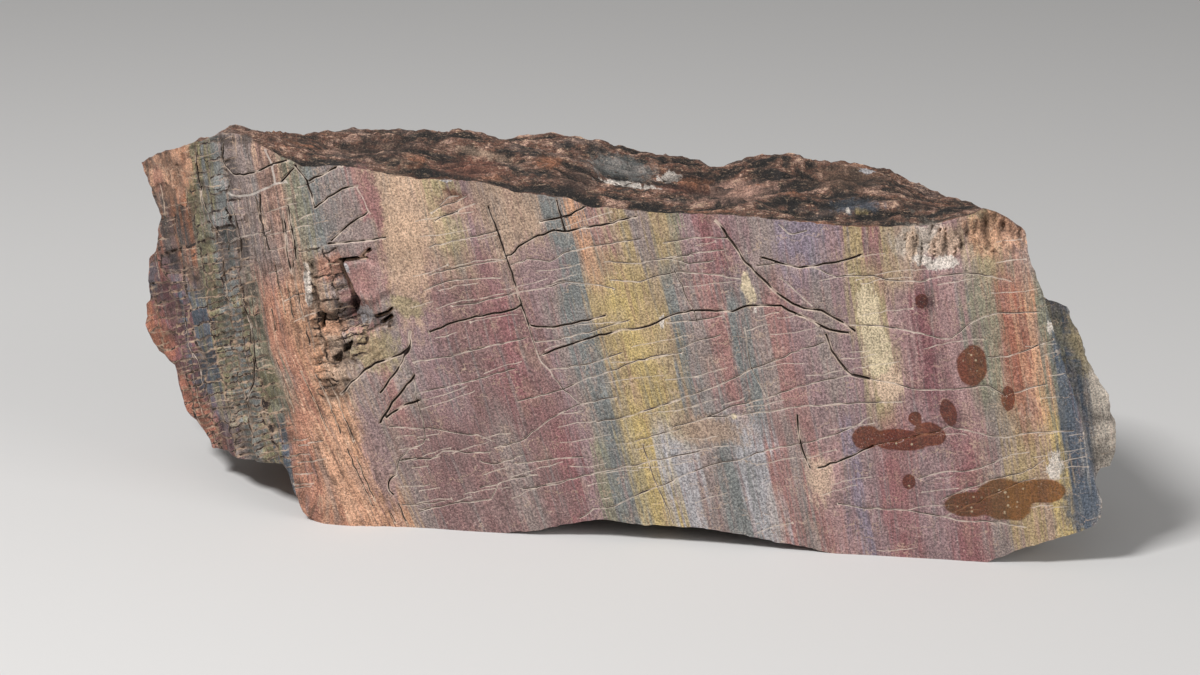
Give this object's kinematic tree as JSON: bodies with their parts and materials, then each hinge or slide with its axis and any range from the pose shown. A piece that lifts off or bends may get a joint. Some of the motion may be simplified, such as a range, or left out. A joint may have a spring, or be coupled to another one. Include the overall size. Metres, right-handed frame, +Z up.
{
  "type": "petrified wood",
  "caption": "Long block of petrified wood with a flat colour-banded face crossed by fine cracks, a rough ridged top and small flat spots to rest on.",
  "frame": {"origin": "bottom centre of the stone's bounding box, on the surface it rests on", "axes": "+X along the stone, -Y out of the colour-banded face, +Z up"},
  "size_m": [0.4165, 0.1191, 0.1569],
  "materials": {
    "petrified_wood": "dry, matt broken stone with colour bands, a few glossy darker patches"
  },
  "bodies": {
    "root": {"petrified_wood": "petrified_wood"}
  },
  "joints": []
}
